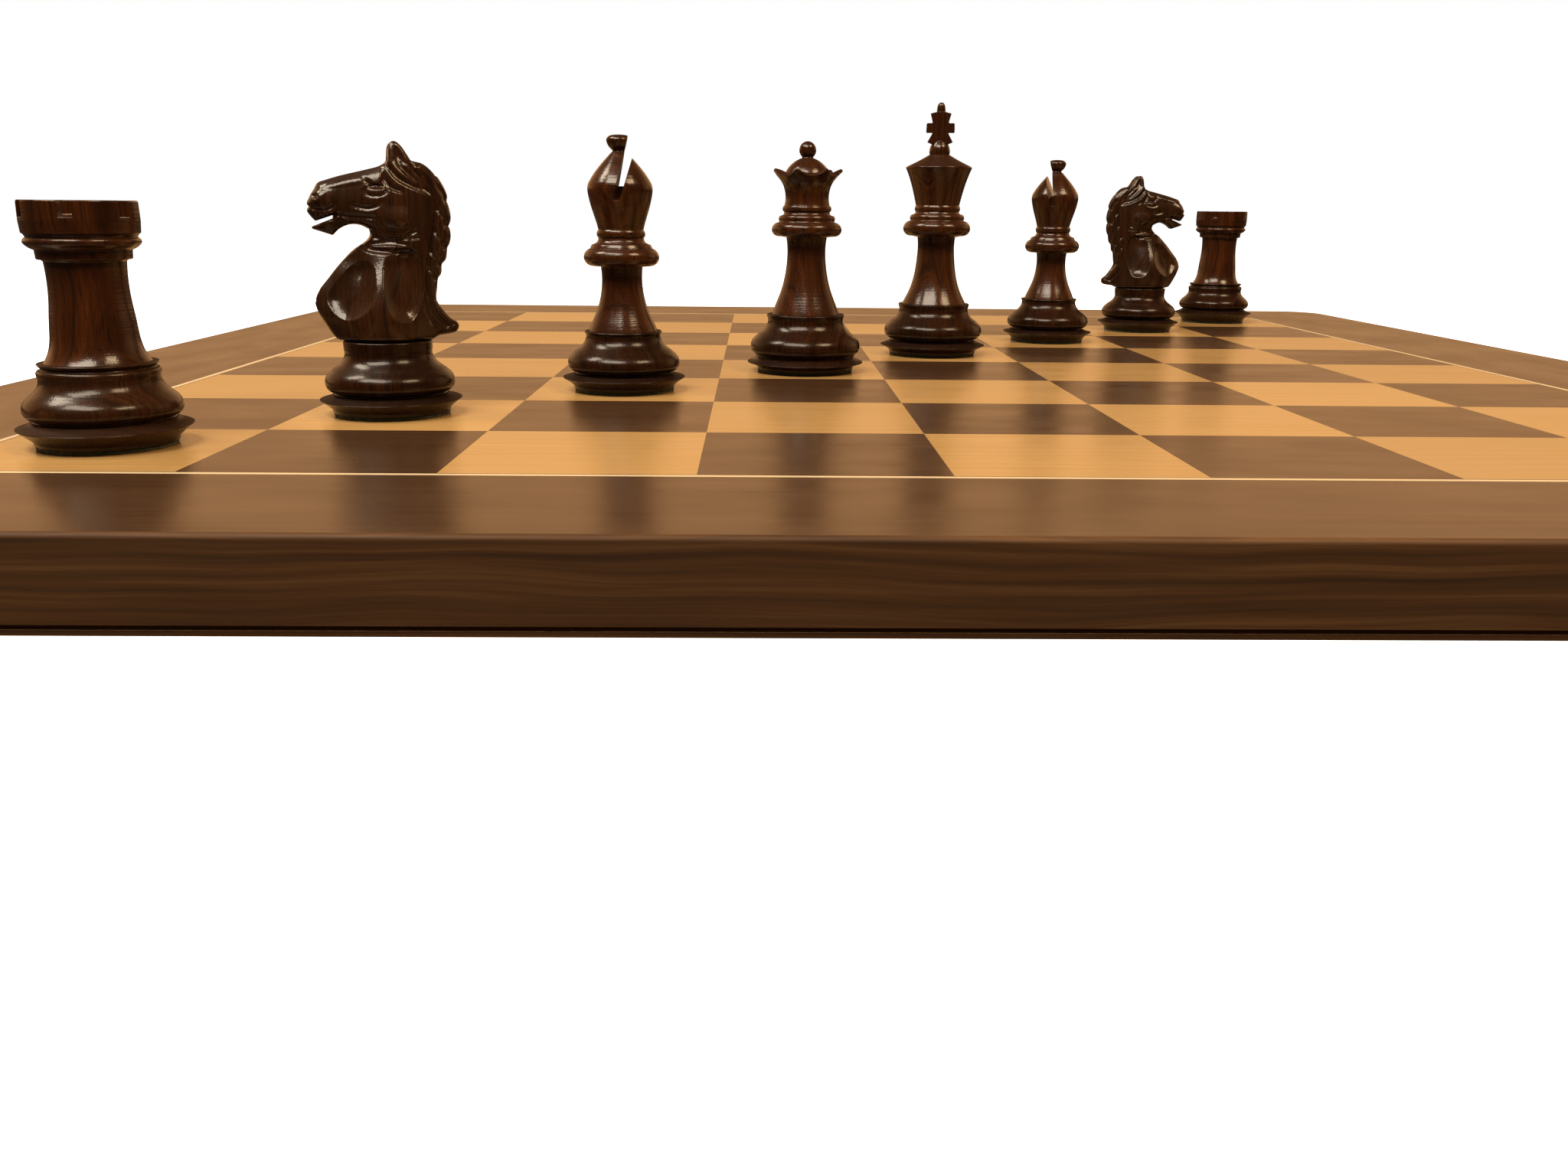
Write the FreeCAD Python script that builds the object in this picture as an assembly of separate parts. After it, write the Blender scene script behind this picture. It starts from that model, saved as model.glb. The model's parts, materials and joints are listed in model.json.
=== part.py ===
import FreeCAD, Part
import math
import os

# Chess set: a veneered 8 x 8 board with eight weighted wooden pieces standing on its long light diagonal.
# Frame: millimetres, origin at the middle of the board's underside, +X to the right along the front edge,
# +Y away from the front edge, +Z up. The pieces are built about their own axis with z = 0 at the playing
# surface, and are then set down on their squares.

os.makedirs("parts", exist_ok=True)

# ---- driving dimensions: board ----
SQUARE = 55.0                 # side of one playing square
RANKS = 8                     # squares along each side of the field
BORDER = 55.0                 # from the field to the board's outer edge, one square wide
THICK = 18.7                  # the whole board, standing surface to playing surface
CORNER = 19.0                 # outer corner radius, seen from above
BAND = 1.5                    # solid edge band that wraps the board
BAND_ROUND = 1.0              # rounding along the band's top edge
VENEER = 0.6                  # squares, lines, border and balancing veneer
BASE = 2.2                    # bottom panel
BASE_INSET = 3.0              # how far the bottom panel's groove stands back from the edge
BASE_LIP = 1.1                # height of the strip at the foot of that groove
LIP_INSET = 0.6               # how far that strip stands back from the edge
INNER_LINE = 0.5              # dark line against the squares
PALE_LINE = 1.8               # pale stringing around it
OUTER_LINE = 0.5              # dark line between stringing and border

FIELD = SQUARE * RANKS
OUTSIDE = FIELD + 2 * BORDER

# ---- driving dimensions: pieces ----
FELT = 1.0                    # thickness of the felt disc
FELT_EDGE = 0.3               # the felt is trimmed this far inside the foot
POCKET_TOP = 10.0             # top of the weight's pocket above the playing surface
POCKET_R = 9.5
SLUG_GAP = 0.1                # all round between weight and pocket
TENON_R = 5.0
TENON_LONG = 6.0
GLUE = 0.05                   # glue line around a tenon or dowel
HOLE_SPARE = 0.3              # a hole is this much deeper than what is glued into it

# Where each piece stands: square number along the diagonal (0 is the near left corner), hand-placed offset
# from the middle of the square, and the way it is turned about its own axis in degrees.
STANDING = {
    "rook_left": (0, -1.0, 4.4, 12.7),
    "knight_left": (1, -3.7, 1.0, 19.0),
    "bishop_left": (2, -0.9, -2.5, 3.2),
    "queen": (3, 1.7, -4.3, 0.0),
    "king": (4, -1.5, -0.4, -7.3),
    "bishop_right": (5, 0.6, 2.0, 159.0),
    "knight_right": (6, 0.9, 4.0, 180.0),
    "rook_right": (7, 0.3, 4.5, 26.0),
}


def point(radius, height):
    """A point of a turned outline, in the XZ plane."""
    return FreeCAD.Vector(radius, 0, height)


def edges_of(start, steps):
    """Edges through the steps. A step is a plain (a, b) for a straight run, ("arc", through, end) for an
    arc, or ("curve", p, q, ...) for a smooth run through its points."""
    edges = []
    here = point(*start)
    for step in steps:
        if step[0] == "arc":
            end = point(*step[2])
            edges.append(Part.Arc(here, point(*step[1]), end).toShape())
        elif step[0] == "curve":
            through = [here] + [point(*p) for p in step[1:]]
            end = through[-1]
            curve = Part.BSplineCurve()
            curve.interpolate(through)
            edges.append(curve.toShape())
        else:
            end = point(*step)
            edges.append(Part.LineSegment(here, end).toShape())
        here = end
    return edges


def outline(start, steps):
    """Closed flat face through the steps, in the XZ plane."""
    edges = edges_of(start, steps)
    first = point(*start)
    last = edges[-1].valueAt(edges[-1].LastParameter)
    if last.distanceToPoint(first) > 1e-6:
        edges.append(Part.LineSegment(last, first).toShape())
    return Part.Face(Part.Wire(edges))


def turned(start, *steps):
    """Solid of revolution about Z of an outline that starts and ends on the axis."""
    face = outline(start, steps)
    return face.revolve(FreeCAD.Vector(0, 0, 0), FreeCAD.Vector(0, 0, 1), 360)


def cylinder(radius, low, high):
    return Part.makeCylinder(radius, high - low, FreeCAD.Vector(0, 0, low))


def box(low, high):
    size = [h - l for l, h in zip(low, high)]
    return Part.makeBox(size[0], size[1], size[2], FreeCAD.Vector(*low))


def save(name, *solids):
    """One node: a single solid, or a group of separate ones."""
    shape = solids[0] if len(solids) == 1 else Part.makeCompound(list(solids))
    shape.exportStep("parts/" + name + ".step")


# ---- board ----
def slab(side, radius, low, high):
    """Square plate about the origin with rounded corners."""
    half = side / 2
    plate = box((-half, -half, low), (half, half, high))
    upright = [e for e in plate.Edges if abs(e.Vertexes[0].Z - e.Vertexes[1].Z) > 1e-6]
    return plate.makeFillet(radius, upright)


def mitred_sides(inner, width, low, high):
    """Four mitred strips around a square of half-side inner, in the order front, right, back, left."""
    outer = inner + width
    corners = [(-inner, -inner), (inner, -inner), (outer, -outer), (-outer, -outer)]
    wire = Part.makePolygon([FreeCAD.Vector(x, y, low) for x, y in corners + corners[:1]])
    front = Part.Face(wire).extrude(FreeCAD.Vector(0, 0, high - low))
    strips = []
    for quarter in range(4):
        strip = front.copy()
        strip.rotate(FreeCAD.Vector(0, 0, 0), FreeCAD.Vector(0, 0, 1), 90 * quarter)
        strips.append(strip)
    return strips


def playing_squares(low, high):
    """The light and the dark squares; the near left corner square is light."""
    light = []
    dark = []
    for column in range(RANKS):
        for rank in range(RANKS):
            x = -FIELD / 2 + column * SQUARE
            y = -FIELD / 2 + rank * SQUARE
            tile = box((x, y, low), (x + SQUARE, y + SQUARE, high))
            (dark if (column + rank) % 2 else light).append(tile)
    return light, dark


def make_board():
    deck = THICK - VENEER
    inside = OUTSIDE - 2 * BAND
    core_low = BASE + VENEER
    save("board_core", slab(inside, CORNER - BAND, core_low, deck))
    save("balancing_veneer", slab(inside, CORNER - BAND, BASE, core_low))

    band = slab(OUTSIDE, CORNER, BASE, THICK)
    top = [e for e in band.Edges if min(v.Z for v in e.Vertexes) > THICK - 1e-6]
    band = band.makeFillet(BAND_ROUND, top)
    save("edge_band", band.cut(slab(inside, CORNER - BAND, BASE - 1, THICK + 1)))

    groove = slab(OUTSIDE - 2 * BASE_INSET, CORNER - BASE_INSET, BASE_LIP, BASE)
    lip = slab(OUTSIDE - 2 * LIP_INSET, CORNER - LIP_INSET, 0, BASE_LIP)
    save("bottom_panel", groove.fuse(lip).removeSplitter())

    light, dark = playing_squares(deck, THICK)
    save("light_squares", *light)
    save("dark_squares", *dark)

    edge = FIELD / 2
    for name, width in (("inner_line", INNER_LINE), ("pale_stringing", PALE_LINE), ("outer_line", OUTER_LINE)):
        save(name, *mitred_sides(edge, width, deck, THICK))
        edge += width
    plate = slab(inside, CORNER - BAND, deck, THICK)
    strips = mitred_sides(edge, inside / 2 - edge, deck, THICK)
    for side, strip in zip(("front", "right", "back", "left"), strips):
        save("border_" + side, strip.common(plate))


# ---- what every piece has: a turned base, a weight in it and felt under it ----
def turned_base(foot, lip, lip_z, waist, waist_z, bulge, bulge_z, collar, ogee, top, cap=(),
                hole=(TENON_R, TENON_LONG)):
    """Base from the felt up: foot, thin flared lip, groove, bulge, ogee and collar. The ogee is the height
    over which the bulge draws in to the collar, cap holds the last steps where the top isn't a plain
    collar, and hole is the radius and length of what is glued in from above."""
    flare_z = FELT + 0.8
    swell = bulge - collar
    steps = [
        (foot, FELT),
        (foot + 0.1, flare_z),
        ("arc", ((foot + lip) / 2 + 0.1, (flare_z + lip_z) / 2 + 0.1), (lip - 0.1, lip_z - 0.2)),
        ("arc", (lip, lip_z - 0.05), (lip - 0.15, lip_z + 0.1)),
        ("arc", ((lip + waist) / 2, (lip_z + waist_z) / 2 - 0.15), (waist, waist_z)),
        ("arc", (waist - 0.35, waist_z + 0.3), (waist, waist_z + 0.6)),
        ("arc", (waist + 0.8 * (bulge - waist), (waist_z + 0.6) * 0.6 + bulge_z * 0.4), (bulge, bulge_z)),
        ("curve",
         (collar + 0.88 * swell, bulge_z + 0.20 * ogee),
         (collar + 0.55 * swell, bulge_z + 0.39 * ogee),
         (collar + 0.19 * swell, bulge_z + 0.58 * ogee),
         (collar, bulge_z + 0.80 * ogee),
         (collar + 0.05, bulge_z + 0.95 * ogee)),
    ]
    steps += cap or [
        (collar + 0.35, top - 0.5),
        ("arc", (collar + 0.3, top - 0.1), (collar - 0.1, top)),
    ]
    solid = turned((0, FELT), *steps, (0, top))
    solid = solid.cut(cylinder(POCKET_R, FELT, POCKET_TOP))
    return solid.cut(cylinder(hole[0] + GLUE, top - hole[1] - HOLE_SPARE, top))


def weight_and_felt(foot):
    slug = cylinder(POCKET_R - SLUG_GAP, FELT + SLUG_GAP, POCKET_TOP - SLUG_GAP)
    return {"weight": slug, "felt": cylinder(foot - FELT_EDGE, 0, FELT)}


def upper(joint, *steps):
    """Turned upper part that stands on the base at the joint's height, with its tenon below."""
    return turned((0, joint - TENON_LONG), (TENON_R, joint - TENON_LONG), (TENON_R, joint), *steps)


# ---- rook ----
ROOK_FOOT = 15.4
ROOK_JOINT = 19.3
ROOK_TOP = 54.9
ROOK_HEAD_R = 12.2
BATTLEMENT_R = 8.9            # inside radius of the battlements
BATTLEMENT_DEEP = 3.7
NOTCHES = 6
NOTCH_WIDE = 2.9


def make_rook():
    ring = [
        (13.1, 17.0),
        ("arc", (12.95, 17.55), (12.3, 17.9)),
        ("arc", (12.05, 18.2), (12.3, 18.5)),
        (12.75, 19.1),
        ("arc", (12.7, 19.28), (12.5, ROOK_JOINT)),
    ]
    base = turned_base(ROOK_FOOT, 18.9, 4.7, 15.5, 6.3, 17.0, 9.2, 12.9, 7.4, ROOK_JOINT, ring)
    floor = ROOK_TOP - BATTLEMENT_DEEP
    tower = upper(
        ROOK_JOINT,
        (11.4, ROOK_JOINT),
        ("curve", (10.2, 21.3), (9.0, 28.3), (8.45, 33.5), (8.3, 37.2), (8.5, 41.7)),
        ("arc", (8.9, 42.05), (9.5, 42.15)),
        ("arc", (9.8, 42.3), (9.85, 42.6)),
        (9.95, 44.2),
        ("curve", (11.1, 44.8), (11.85, 45.5)),
        ("arc", (12.0, 46.3), (11.35, 46.9)),
        ("arc", (11.6, 47.5), (ROOK_HEAD_R - 0.1, 47.9)),
        (ROOK_HEAD_R + 0.1, 50.5),
        (ROOK_HEAD_R, ROOK_TOP - 0.4),
        ("arc", (ROOK_HEAD_R - 0.12, ROOK_TOP - 0.1), (ROOK_HEAD_R - 0.4, ROOK_TOP)),
        (BATTLEMENT_R + 0.2, ROOK_TOP),
        (BATTLEMENT_R, ROOK_TOP - 0.2),
        (BATTLEMENT_R, floor + 0.8),
        ("arc", (BATTLEMENT_R - 0.3, floor + 0.25), (BATTLEMENT_R - 1.0, floor)),
        (0, floor - 0.6))
    for notch in range(NOTCHES):
        cut = box((BATTLEMENT_R - 2, -NOTCH_WIDE / 2, floor + 0.05), (20, NOTCH_WIDE / 2, ROOK_TOP + 1))
        cut.rotate(FreeCAD.Vector(0, 0, 0), FreeCAD.Vector(0, 0, 1), notch * 360 / NOTCHES - 90)
        tower = tower.cut(cut)
    return {"base": base, "tower": tower, **weight_and_felt(ROOK_FOOT)}


# ---- bishop ----
BISHOP_FOOT = 15.4
BISHOP_JOINT = 18.1
SLOT_CREST = 60.4             # the mitre's saw cut ends here in the middle of the head
SLOT_FALL = 4.4               # and this much lower at the head's surface, front and back
SLOT_WIDE = 1.9               # at its floor
SLOT_LEAN = 13.4              # inner wall from the vertical, degrees
SLOT_OPEN = 5.0               # how much further the outer wall leans
SLOT_START = -0.8             # sideways place of the inner wall at the crest
MITRE_R = 9.6


def mitre_cut():
    """The saw cut through the mitre: a leaning wedge whose floor has its crest in the middle."""
    reach = 14.0
    high = 90.0
    inner = math.tan(math.radians(SLOT_LEAN))
    outer = math.tan(math.radians(SLOT_LEAN + SLOT_OPEN))
    sections = []
    for y in (-reach, 0, reach):
        floor = SLOT_CREST - SLOT_FALL * abs(y) / MITRE_R
        low_x = SLOT_START + (floor - SLOT_CREST) * inner
        far_x = low_x + SLOT_WIDE
        corners = [(low_x, floor), (far_x, floor), (far_x + (high - floor) * outer, high),
                   (low_x + (high - floor) * inner, high)]
        loop = [FreeCAD.Vector(x, y, z) for x, z in corners]
        sections.append(Part.makePolygon(loop + loop[:1]))
    return Part.makeLoft(sections, True, True)


def make_bishop():
    base = turned_base(BISHOP_FOOT, 18.7, 4.2, 15.2, 5.5, 17.1, 8.7, 11.4, 9.2, BISHOP_JOINT)
    mitre = upper(
        BISHOP_JOINT,
        (10.4, BISHOP_JOINT),
        ("curve", (9.5, 20.4), (7.9, 24.0), (6.5, 28.9), (6.06, 34.0), (6.3, 37.1)),
        (8.2, 37.4),
        ("arc", (11.3, 40.1), (9.4, 42.4)),
        ("arc", (9.15, 43.0), (8.8, 43.6)),
        ("curve", (7.3, 44.3), (6.8, 45.5)),
        ("arc", (7.25, 46.9), (6.75, 47.9)),
        ("curve", (7.6, 51.0), (8.7, 54.5), (9.45, 57.6), (9.68, 59.6), (9.35, 61.2)),
        ("curve", (8.55, 62.6), (5.4, 66.7), (2.4, 69.9)),
        ("arc", (2.0, 70.3), (2.3, 70.8)),
        ("curve", (3.4, 72.2), (3.75, 73.6)),
        ("curve", (3.0, 74.5), (1.5, 74.9), (0, 75.0)))
    mitre = mitre.cut(mitre_cut())
    return {"base": base, "mitre": mitre, **weight_and_felt(BISHOP_FOOT)}


# ---- queen ----
QUEEN_FOOT = 16.6
QUEEN_JOINT = 19.5
SCALLOPS = 7
SCALLOP_R = 6.3
SCALLOP_TILT = 25.0           # the gouge slopes down and outwards
SCALLOP_LOW = (10.3, 64.8)    # lowest point of a scallop: radius and height
SCALLOP_IN = 2.6              # how far the gouge runs in from there
BALL_R = 2.84
BALL_Z = 73.26
BALL_NECK = 1.96              # the neck meets the ball this far below its middle


def scallop_gouge():
    """Round gouge that cuts one scallop in the coronet, pointing outwards along +X."""
    tilt = math.radians(SCALLOP_TILT)
    along = FreeCAD.Vector(math.cos(tilt), 0, -math.sin(tilt))
    up = FreeCAD.Vector(math.sin(tilt), 0, math.cos(tilt))
    start = point(*SCALLOP_LOW) + up * SCALLOP_R - along * SCALLOP_IN
    return Part.makeCylinder(SCALLOP_R, 12.0, start, along)


def make_queen():
    base = turned_base(QUEEN_FOOT, 20.0, 3.3, 17.1, 5.2, 18.9, 9.0, 13.0, 9.6, QUEEN_JOINT)
    crown = upper(
        QUEEN_JOINT,
        (11.6, QUEEN_JOINT),
        ("curve", (10.6, 22.2), (8.7, 27.0), (7.3, 32.2), (6.6, 37.3), (6.48, 41.0), (6.9, 45.1)),
        (9.4, 45.4),
        ("arc", (11.85, 47.6), (10.0, 49.8)),
        ("arc", (9.5, 50.1), (9.4, 50.6)),
        ("arc", (9.5, 51.4), (9.1, 52.1)),
        ("curve", (8.0, 52.5), (7.7, 53.3)),
        ("arc", (8.25, 54.6), (7.65, 55.5)),
        ("curve", (7.3, 58.1), (7.5, 60.0), (8.4, 62.6), (9.9, 64.6), (11.75, 66.4)),
        ("arc", (11.75, 67.0), (11.2, 67.3)),
        ("curve", (9.4, 66.5), (7.7, 65.3)),
        ("curve", (6.9, 67.0), (5.1, 69.0), (2.3, 70.6)),
        ("arc", (1.9, 70.9), (math.sqrt(BALL_R ** 2 - BALL_NECK ** 2), BALL_Z - BALL_NECK)),
        ("arc", (BALL_R, BALL_Z), (0, BALL_Z + BALL_R)))
    for turn in range(SCALLOPS):
        gouge = scallop_gouge()
        gouge.rotate(FreeCAD.Vector(0, 0, 0), FreeCAD.Vector(0, 0, 1), turn * 360 / SCALLOPS - 84)
        crown = crown.cut(gouge)
    return {"base": base, "coronet": crown, **weight_and_felt(QUEEN_FOOT)}


# ---- king ----
KING_FOOT = 16.7
KING_JOINT = 19.5
CROWN_TOP = 74.4
PIN_R = 1.6
PIN_LONG = 7.0
CROSS_THICK = 4.6


def make_cross():
    """Carved cross finial: a turned boss, pin and knob with a flat cross between them."""
    turning = turned(
        (0, CROWN_TOP - PIN_LONG), (PIN_R, CROWN_TOP - PIN_LONG), (PIN_R, CROWN_TOP),
        (3.7, CROWN_TOP),
        ("arc", (3.87, 75.7), (3.05, 78.2)),
        (2.2, 79.5), (1.7, 82.0), (1.7, 88.6), (1.62, 90.2),
        ("curve", (1.45, 91.6), (0.9, 92.7), (0, 93.0)))
    half = [(3.0, 78.2), (4.7, 78.9), (3.0, 81.9), (3.15, 82.3), (5.15, 82.3), (5.3, 82.6), (5.2, 85.3),
            (4.9, 85.6), (3.3, 85.6), (3.0, 85.9), (3.85, 89.0), (1.4, 89.6)]
    around = half + [(-x, z) for x, z in reversed(half)]
    plate = outline(around[0], around[1:]).extrude(FreeCAD.Vector(0, CROSS_THICK, 0))
    plate.translate(FreeCAD.Vector(0, -CROSS_THICK / 2, 0))
    return turning.fuse(plate)


def make_king():
    base = turned_base(KING_FOOT, 20.2, 3.8, 16.4, 5.6, 18.8, 9.6, 13.3, 8.8, KING_JOINT)
    crown = upper(
        KING_JOINT,
        (12.3, KING_JOINT),
        ("curve", (11.4, 21.2), (9.7, 24.7), (8.0, 30.5), (7.15, 36.9), (6.95, 40.5), (7.2, 44.4)),
        (9.6, 44.9),
        ("arc", (12.7, 48.1), (10.8, 50.2)),
        ("arc", (10.25, 50.5), (10.2, 51.0)),
        ("arc", (10.2, 52.0), (9.6, 52.7)),
        ("curve", (8.6, 53.0), (8.25, 53.7)),
        ("arc", (8.6, 55.0), (8.2, 56.0)),
        ("curve", (8.5, 57.3), (9.95, 62.9), (12.3, 69.3)),
        ("arc", (12.4, 69.8), (12.1, 70.1)),
        ("curve", (9.5, 71.3), (3.75, CROWN_TOP)),
        (0, CROWN_TOP))
    socket = cylinder(PIN_R + GLUE, CROWN_TOP - PIN_LONG - HOLE_SPARE, CROWN_TOP + 1)
    return {"base": base, "crown": crown.cut(socket), "cross": make_cross(), **weight_and_felt(KING_FOOT)}


# ---- knight ----
KNIGHT_FOOT = 15.4
KNIGHT_JOINT = 19.7
DOWEL_R = 3.0
DOWEL_UP = 12.0               # length of the dowel in the carved head
DOWEL_DOWN = 7.0              # and in the base


def carved_head():
    """The horse's head and neck, facing -X: its side view, narrowed by its front view and at the muzzle."""
    side = outline(
        (-12.4, KNIGHT_JOINT + 0.4), [
            (11.6, KNIGHT_JOINT + 0.4),
            ("curve", (14.0, 20.8), (17.6, 21.2), (18.6, 22.6), (17.6, 25.0), (14.2, 28.6), (13.1, 33.0)),
            ("curve", (14.8, 38.5), (17.0, 43.5), (18.0, 50.0), (17.5, 56.0), (14.2, 63.0), (8.6, 65.8)),
            (6.2, 69.3),
            ("arc", (5.0, 70.4), (4.1, 69.6)),
            (3.1, 65.4),
            ("curve", (0.8, 64.1), (-7.0, 62.1), (-14.6, 60.0)),
            ("curve", (-16.2, 58.2), (-17.6, 54.6), (-17.0, 51.8), (-15.8, 50.5)),
            (-11.6, 51.7),
            (-11.7, 50.9),
            (-16.9, 49.0),
            (-16.6, 48.3),
            (-11.9, 46.7),
            ("curve", (-9.9, 48.6), (-6.3, 49.4), (-3.0, 48.4)),
            ("curve", (-2.5, 47.0), (-4.2, 44.9), (-8.2, 41.6)),
            (-15.5, 33.9),
            ("curve", (-17.3, 31.6), (-17.5, 29.0), (-16.2, 25.8))])
    half = [(10.8, KNIGHT_JOINT + 0.4), (11.6, 24.0), (11.6, 32.0), (9.6, 40.0), (7.6, 46.0), (7.2, 57.0),
            (6.6, 62.0), (5.9, 71.5), (2.2, 71.5), (1.6, 65.8)]
    around = half + [(-y, z) for y, z in reversed(half)]
    front = outline(around[0], around[1:])
    front.rotate(FreeCAD.Vector(0, 0, 0), FreeCAD.Vector(0, 0, 1), 90)
    width = 30.0
    block = side.extrude(FreeCAD.Vector(0, width, 0))
    block.translate(FreeCAD.Vector(0, -width / 2, 0))
    through = front.extrude(FreeCAD.Vector(60, 0, 0))
    through.translate(FreeCAD.Vector(-30, 0, 0))
    head = block.common(through)
    for hand in (-1, 1):
        cheek = [(-2.0, 7.6), (-12.0, 4.9), (-19.0, 4.4), (-19.0, 12.0), (-2.0, 12.0)]
        loop = [FreeCAD.Vector(x, y * hand, 43.0) for x, y in cheek + cheek[:1]]
        shaving = Part.Face(Part.makePolygon(loop)).extrude(FreeCAD.Vector(0, 0, 25))
        head = head.cut(shaving)
    return head.cut(cylinder(DOWEL_R + GLUE, KNIGHT_JOINT, KNIGHT_JOINT + DOWEL_UP + HOLE_SPARE))


def make_knight():
    drum = [
        (11.55, KNIGHT_JOINT - 0.4),
        ("arc", (11.45, KNIGHT_JOINT - 0.1), (11.1, KNIGHT_JOINT)),
    ]
    base = turned_base(KNIGHT_FOOT, 18.6, 4.3, 15.0, 5.7, 16.9, 9.1, 11.4, 8.6, KNIGHT_JOINT, drum,
                       (DOWEL_R, DOWEL_DOWN))
    dowel = cylinder(DOWEL_R, KNIGHT_JOINT - DOWEL_DOWN, KNIGHT_JOINT + DOWEL_UP)
    return {"base": base, "head": carved_head(), "dowel": dowel, **weight_and_felt(KNIGHT_FOOT)}


MAKERS = {
    "rook": make_rook,
    "knight": make_knight,
    "bishop": make_bishop,
    "queen": make_queen,
    "king": make_king,
}


def set_down(name, solids):
    """Turns a piece about its axis, stands it on its square and saves its nodes."""
    square, off_x, off_y, turn = STANDING[name]
    middle = (square + 0.5) * SQUARE - FIELD / 2
    for part_name, solid in solids.items():
        placed = solid.copy()
        placed.rotate(FreeCAD.Vector(0, 0, 0), FreeCAD.Vector(0, 0, 1), turn)
        placed.translate(FreeCAD.Vector(middle + off_x, middle + off_y, THICK))
        save(name + "_" + part_name, placed)


make_board()
for piece_name in STANDING:
    set_down(piece_name, MAKERS[piece_name.split("_")[0]]())
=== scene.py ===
import json
import math
import random

import bpy
import numpy as np
import openvdb
from mathutils import Matrix, Vector

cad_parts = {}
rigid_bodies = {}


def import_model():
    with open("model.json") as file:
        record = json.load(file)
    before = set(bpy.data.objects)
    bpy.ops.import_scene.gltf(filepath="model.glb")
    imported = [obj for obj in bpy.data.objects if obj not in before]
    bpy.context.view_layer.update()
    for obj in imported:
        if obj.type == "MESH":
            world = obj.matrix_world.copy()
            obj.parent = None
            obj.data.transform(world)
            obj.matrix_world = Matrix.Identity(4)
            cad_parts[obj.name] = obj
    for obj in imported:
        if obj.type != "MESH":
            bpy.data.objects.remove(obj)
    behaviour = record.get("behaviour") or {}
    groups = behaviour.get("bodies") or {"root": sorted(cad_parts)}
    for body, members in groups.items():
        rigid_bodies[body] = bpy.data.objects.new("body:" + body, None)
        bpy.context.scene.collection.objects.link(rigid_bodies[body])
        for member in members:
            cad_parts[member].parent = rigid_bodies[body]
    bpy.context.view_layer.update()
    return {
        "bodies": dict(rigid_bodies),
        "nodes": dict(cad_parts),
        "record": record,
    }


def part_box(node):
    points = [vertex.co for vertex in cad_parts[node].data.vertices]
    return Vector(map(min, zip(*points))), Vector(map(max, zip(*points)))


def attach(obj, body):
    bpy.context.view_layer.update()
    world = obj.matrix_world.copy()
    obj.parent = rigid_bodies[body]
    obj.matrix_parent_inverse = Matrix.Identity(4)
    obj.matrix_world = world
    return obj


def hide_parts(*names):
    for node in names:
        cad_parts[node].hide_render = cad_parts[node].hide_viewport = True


# Looks of a veneered chessboard with eight turned and carved rosewood pieces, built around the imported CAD
# frame. Lengths are metres, except in the carved heads, which are drawn in millimetres, and where a name
# ends in _mm or _MM. The board lies flat and is 10 squares across.

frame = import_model()
nodes = frame["nodes"]

MM = 0.001
PIECES = [name for name in frame["bodies"] if name != "board"]
SLOT_OF = {part["node"]: part["material_slot"] for part in frame["record"]["subparts"]}
SQUARES_ACROSS = 8
SQUARE = (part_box("light_squares")[1].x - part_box("light_squares")[0].x) / SQUARES_ACROSS
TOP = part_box("light_squares")[1].z
KNIGHT_TURN = {"knight_left": 19.0, "knight_right": 180.0}    # degrees, from facing -X


# ---- camera ----
LENS_MM = 30.459
SENSOR_MM = 36.0
NEAREST = 0.01
CAMERA_AT = (-0.041971, -0.498082, TOP + 0.054854)
CAMERA_TURN = (74.0014, -0.5413, -1.0313)    # degrees


def make_camera():
    camera = bpy.data.cameras.new("camera")
    camera.lens = LENS_MM
    camera.sensor_width = SENSOR_MM
    camera.clip_start = NEAREST
    holder = bpy.data.objects.new("camera", camera)
    bpy.context.scene.collection.objects.link(holder)
    holder.location = CAMERA_AT
    holder.rotation_euler = [math.radians(angle) for angle in CAMERA_TURN]
    bpy.context.scene.camera = holder


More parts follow.
